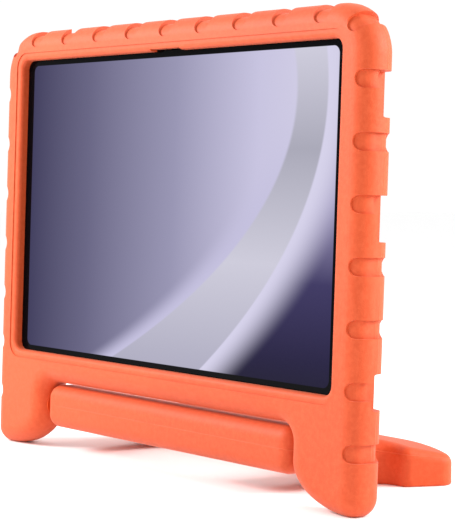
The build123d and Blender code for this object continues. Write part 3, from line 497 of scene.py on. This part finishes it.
class InsideLook(bpy.types.PropertyGroup):
    """Colours of the parts inside the tablet."""
    mask: colour_property("Mask", "Solder mask", tint(14, 74, 52))
    mask_pale: colour_property("Pale Mask", "Mask over copper", tint(34, 116, 78))
    gold: colour_property("Gold", "Bare pads", tint(214, 168, 84))
    pouch: colour_property("Pouch", "Battery foil", tint(40, 40, 44))
    label: colour_property("Label", "Battery band", tint(198, 200, 204))
    moulding: colour_property("Moulding", "Black moulded plastic", tint(24, 24, 26))
    dust: colour_property("Dust", "Dust on the mouldings", tint(92, 90, 86))
    ribbon: colour_property("Ribbon", "Polyimide film", tint(196, 122, 34))
    ribbon_dark: colour_property("Dark Ribbon", "Film over tracks", tint(142, 74, 18))


class StudioLook(bpy.types.PropertyGroup):
    """Floor, lights and camera."""
    floor: colour_property("Floor", "The plain floor", (0.96, 0.96, 0.96))
    surround: FloatProperty(name="Surround", description="Light from all round",
                            default=1.03, min=0.0)
    key: FloatProperty(name="Key", description="Power of the light at the front left",
                       default=7.6, min=0.0, subtype="POWER", unit="POWER")
    side: FloatProperty(name="Side", description="Power of the light at the right",
                        default=7.0, min=0.0, subtype="POWER", unit="POWER")
    lens: FloatProperty(name="Lens", description="The camera's focal length",
                        default=122.955, min=1.0, subtype="DISTANCE_CAMERA", unit="CAMERA")
    eye: FloatVectorProperty(name="Eye", description="The camera, from the screen's middle",
                             size=3, default=(0.67906, -0.52186, 0.02664), subtype="TRANSLATION",
                             unit="LENGTH")
    aim: FloatVectorProperty(name="Aim", description="What it looks at, from the same point",
                             size=3, default=(0.0242, 0.01774, -0.02327), subtype="TRANSLATION",
                             unit="LENGTH")


# ------------------------------------------------------------------ operators
class FOAMCASE_OT_stage(bpy.types.Operator):
    """Lay the plain floor, and set the lights and the camera"""
    bl_idname = "foamcase.stage"
    bl_label = "Set Stage"

    def area_light(self, name, spot, target, power, size):
        lamp = bpy.data.lights.new(name, "AREA")
        lamp.shape, lamp.size, lamp.energy = "DISK", size, power
        holder = bpy.data.objects.new(name, lamp)
        bpy.context.scene.collection.objects.link(holder)
        self.point(holder, spot, target)

    def point(self, holder, spot, target):
        holder.location = spot
        holder.rotation_euler = (Vector(target) - Vector(spot)).to_track_quat("-Z", "Y").to_euler()

    def floor(self, look):
        """A flat round floor: x = r cos a, y = r sin a, z = 0, r from 0 to 4 m."""
        turn, r = np.meshgrid(np.linspace(0, 2 * np.pi, FLOOR_TURNS, endpoint=False),
                              np.linspace(FLOOR_HOLE, FLOOR_R, FLOOR_RINGS), indexing="ij")
        points = np.stack([r * np.cos(turn), r * np.sin(turn), np.zeros_like(r)], axis=-1)
        rows, columns = points.shape[:2]
        a, b = np.meshgrid(np.arange(rows), np.arange(columns - 1), indexing="ij")
        after = (a + 1) % rows
        quads = np.stack([a * columns + b, a * columns + b + 1,
                          after * columns + b + 1, after * columns + b], axis=-1)
        mesh = bpy.data.meshes.new("floor")
        mesh.from_pydata(points.reshape(-1, 3).tolist(), [],
                         quads.reshape(-1, 4).tolist() + [list(range(0, rows * columns, columns))])
        paper = Finish("floor_paper", {"Roughness": 0.9, "Specular IOR Level": 0.1})
        paper.feed("Base Color", paper.mix(paper.noise(3.0) * 0.3, look.floor, (0.98, 0.98, 0.98)))
        mesh.materials.append(paper.material)
        sheet = bpy.data.objects.new("floor", mesh)
        bpy.context.scene.collection.objects.link(sheet)

    def execute(self, context):
        look, scene = context.scene.studio_look, context.scene
        self.floor(look)
        world = bpy.data.worlds.new("surround")
        world.use_nodes = True
        backdrop = world.node_tree.nodes["Background"]
        backdrop.inputs["Color"].default_value = (1.0, 1.0, 1.0, 1.0)
        backdrop.inputs["Strength"].default_value = look.surround
        scene.world = world
        for name, power, offset, size in (("key_light", look.key, KEY_SPOT, KEY_SIZE),
                                          ("side_light", look.side, SIDE_SPOT, SIDE_SIZE)):
            self.area_light(name, SCREEN + np.array(offset), SCREEN, power, size)
        camera = bpy.data.objects.new("camera", bpy.data.cameras.new("camera"))
        camera.data.lens, camera.data.sensor_width = look.lens, SENSOR
        camera.data.clip_start, camera.data.clip_end = 0.02, 30.0
        scene.collection.objects.link(camera)
        self.point(camera, SCREEN + np.array(look.eye), SCREEN + np.array(look.aim))
        scene.camera = camera
        scene.view_settings.view_transform = "Standard"
        return {"FINISHED"}


class FOAMCASE_OT_foam(bpy.types.Operator):
    """Give the foam case and its handle their moulded skin"""
    bl_idname = "foamcase.foam"
    bl_label = "Finish Foam"

    def execute(self, context):
        share = context.scene.foam_look.case_line
        at = CASE_FRONT + share * (CASE_BACK - CASE_FRONT)
        coat(moulded_foam("case_foam", BACK, at), "foam_case")
        coat(moulded_foam("handle_foam", BAR_LINE, float(HINGE @ BAR_LINE)), "handle")
        return {"FINISHED"}


class FOAMCASE_OT_hinge(bpy.types.Operator):
    """Give the hinge pins and bushes their satin nylon"""
    bl_idname = "foamcase.hinge"
    bl_label = "Finish Hinge"

    def execute(self, context):
        coat(satin_nylon(), "hinge_pin_left", "hinge_pin_right",
             "hinge_bush_left", "hinge_bush_right")
        return {"FINISHED"}


class FOAMCASE_OT_screen(bpy.types.Operator):
    """Light the picture behind the glass, and finish the layers under it"""
    bl_idname = "foamcase.screen"
    bl_label = "Finish Screen"

    def execute(self, context):
        coat(lit_glass(), "cover_glass")
        coat(dark_laminate(), "display_cell")
        coat(diffusing_film(), "backlight_unit")
        return {"FINISHED"}


class FOAMCASE_OT_metal(bpy.types.Operator):
    """Finish the shell, keys, tray and camera ring"""
    bl_idname = "foamcase.metal"
    bl_label = "Finish Metal"

    def execute(self, context):
        look = context.scene.metal_look
        coat(anodised("shell_anodised", look.shell, look.shell_painted_lit), "rear_shell", "card_tray")
        # The keys are painted in the shell's lit colour, with patches of bare metal.
        coat(anodised("key_anodised", look.shell_painted_lit, look.edge), "power_key", "volume_key")
        coat(turned_ring(), "rear_camera_ring")
        coat(cast_alloy(), "midframe")
        coat(plated_steel(), "shield_cans", "usb_port", "key_bracket", "key_switches",
             "card_reader", "microphone", "board_screws")
        coat(coated_lens(), "rear_camera_lens")
        return {"FINISHED"}


class FOAMCASE_OT_inside(bpy.types.Operator):
    """Finish the boards, batteries, ribbons and small mouldings inside"""
    bl_idname = "foamcase.inside"
    bl_label = "Finish Inside"

    def execute(self, context):
        coat(solder_mask(), "mainboard", "charge_board")
        coat(foil_pouch(), "battery_left", "battery_right")
        coat(black_moulding(), "processor", "memory_chip", "speaker_upper_left",
             "speaker_upper_right", "speaker_lower_left", "speaker_lower_right",
             "headphone_jack", "front_camera", "rear_camera")
        coat(polyimide(), "main_flex", "display_flex", "key_flex", "antenna_left",
             "antenna_right")
        return {"FINISHED"}


class FOAMCASE_PT_sidebar(bpy.types.Panel):
    """The sidebar's list of settings and makers"""
    bl_idname = "FOAMCASE_PT_sidebar"
    bl_label = "Foam Case"
    bl_space_type = "VIEW_3D"
    bl_region_type = "UI"
    bl_category = "Foam Case"

    def draw(self, context):
        column = self.layout.column()
        for maker in MAKERS:
            column.operator(maker.bl_idname)
        for look in ("foam_look", "screen_look", "metal_look", "inside_look", "studio_look"):
            box = self.layout.box()
            group = getattr(context.scene, look)
            box.label(text=look.replace("_", " ").title())
            for name in group.__annotations__:
                box.prop(group, name)


MAKERS = (FOAMCASE_OT_stage, FOAMCASE_OT_foam, FOAMCASE_OT_hinge, FOAMCASE_OT_screen,
          FOAMCASE_OT_metal, FOAMCASE_OT_inside)
LOOKS = {"foam_look": FoamLook, "screen_look": ScreenLook, "metal_look": MetalLook,
         "inside_look": InsideLook, "studio_look": StudioLook}


def register():
    for look, group in LOOKS.items():
        bpy.utils.register_class(group)
        setattr(bpy.types.Scene, look, PointerProperty(type=group))
    for maker in MAKERS:
        bpy.utils.register_class(maker)
    bpy.utils.register_class(FOAMCASE_PT_sidebar)


def unregister():
    bpy.utils.unregister_class(FOAMCASE_PT_sidebar)
    for maker in reversed(MAKERS):
        bpy.utils.unregister_class(maker)
    for look, group in reversed(LOOKS.items()):
        delattr(bpy.types.Scene, look)
        bpy.utils.unregister_class(group)


def main():
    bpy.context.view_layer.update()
    register()
    for maker in MAKERS:
        group, name = maker.bl_idname.split(".")
        getattr(getattr(bpy.ops, group), name)()


if __name__ == "__main__":
    main()
